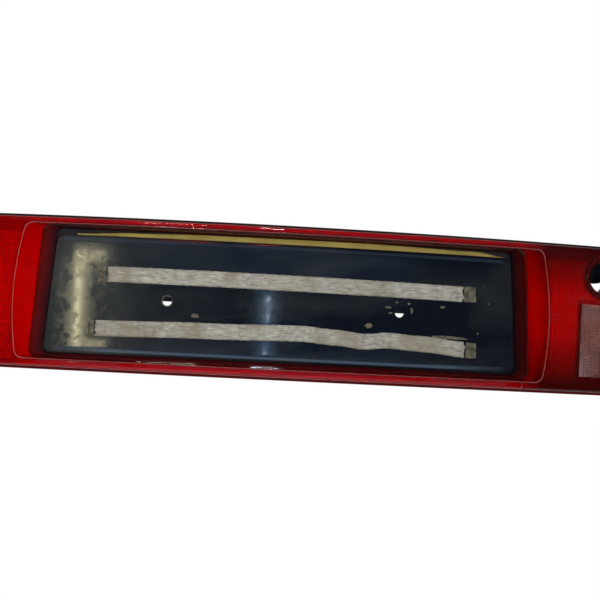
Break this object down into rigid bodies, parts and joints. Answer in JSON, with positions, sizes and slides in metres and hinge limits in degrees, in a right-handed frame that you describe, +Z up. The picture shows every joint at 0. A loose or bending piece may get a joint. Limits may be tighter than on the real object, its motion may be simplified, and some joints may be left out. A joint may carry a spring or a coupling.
{
  "type": "third brake light",
  "caption": "Long curved boot-lid lamp bar: red lens with reversing windows and a dark badge panel in a centre recess, on a black housing with twist-lock bulb holders.",
  "frame": {"origin": "centre of the rear mounting pad at mid length", "axes": "+X right as seen from the lens side, the lens faces -Y, +Z up as installed"},
  "size_m": [0.9076, 0.0976, 0.122],
  "materials": {
    "panel_gloss": "high gloss near black, smudged",
    "tape_foam": "rough cream-grey foam",
    "seal_rubber": "matt black rubber",
    "black_abs": "matt moulded black",
    "zinc_steel": "bright zinc",
    "old_sealant": "dull ochre compound",
    "red_acrylic": "glossy translucent red moulding, smooth rim, fine ribbed optics behind",
    "bulb_glass": "clear glass",
    "silvered": "vacuum silvered plastic",
    "brass": "dull brass",
    "clear_acrylic": "glossy clear moulding, fine grid optics behind",
    "tape_residue": "dull brown adhesive"
  },
  "bodies": {
    "lamp_body": {"badge_panel": "panel_gloss", "badge_tape_lower": "tape_foam", "badge_tape_upper": "tape_foam", "body_gasket": "seal_rubber", "housing": "black_abs", "lens_seal": "seal_rubber", "mounting_nut_1": "zinc_steel", "mounting_nut_2": "zinc_steel", "mounting_nut_3": "zinc_steel", "mounting_nut_4": "zinc_steel", "mounting_nut_5": "zinc_steel", "mounting_nut_6": "zinc_steel", "mounting_stud_1": "zinc_steel", "mounting_stud_2": "zinc_steel", "mounting_stud_3": "zinc_steel", "mounting_stud_4": "zinc_steel", "mounting_stud_5": "zinc_steel", "mounting_stud_6": "zinc_steel", "panel_screw_1": "zinc_steel", "panel_screw_2": "zinc_steel", "panel_screw_3": "zinc_steel", "panel_screw_4": "zinc_steel", "panel_sealing_strip": "old_sealant", "red_lens": "red_acrylic", "reverse_left_reflector": "silvered", "reverse_lens_left": "clear_acrylic", "reverse_lens_right": "clear_acrylic", "reverse_right_reflector": "silvered", "stop_left_reflector": "silvered", "stop_right_reflector": "silvered", "tape_residue_lower_left": "tape_residue", "tape_residue_lower_right": "tape_residue", "tape_residue_upper_left": "tape_residue", "tape_residue_upper_right": "tape_residue"},
    "reverse_left_bulb_holder": {"reverse_left_bulb": "bulb_glass", "reverse_left_holder": "black_abs", "reverse_left_holder_seal": "seal_rubber", "reverse_left_terminal_earth": "brass", "reverse_left_terminal_live": "brass"},
    "reverse_right_bulb_holder": {"reverse_right_bulb": "bulb_glass", "reverse_right_holder": "black_abs", "reverse_right_holder_seal": "seal_rubber", "reverse_right_terminal_earth": "brass", "reverse_right_terminal_live": "brass"},
    "stop_left_bulb_holder": {"stop_left_bulb": "bulb_glass", "stop_left_holder": "black_abs", "stop_left_holder_seal": "seal_rubber", "stop_left_terminal_earth": "brass", "stop_left_terminal_live": "brass"},
    "stop_right_bulb_holder": {"stop_right_bulb": "bulb_glass", "stop_right_holder": "black_abs", "stop_right_holder_seal": "seal_rubber", "stop_right_terminal_earth": "brass", "stop_right_terminal_live": "brass"}
  },
  "joints": [
    {"name": "reverse_left_twist", "type": "hinge", "parent": "lamp_body", "child": "reverse_left_bulb_holder", "pos_m": [-0.294, 0.00575, -0.01822], "axis": [0, 1, 0], "range_deg": [0, 45]},
    {"name": "reverse_right_twist", "type": "hinge", "parent": "lamp_body", "child": "reverse_right_bulb_holder", "pos_m": [0.294, 0.00575, -0.01822], "axis": [0, 1, 0], "range_deg": [0, 45]},
    {"name": "stop_left_twist", "type": "hinge", "parent": "lamp_body", "child": "stop_left_bulb_holder", "pos_m": [-0.396, 0.01362, -0.00305], "axis": [0, 1, 0], "range_deg": [0, 45]},
    {"name": "stop_right_twist", "type": "hinge", "parent": "lamp_body", "child": "stop_right_bulb_holder", "pos_m": [0.396, 0.01362, -0.00305], "axis": [0, 1, 0], "range_deg": [0, 45]}
  ]
}
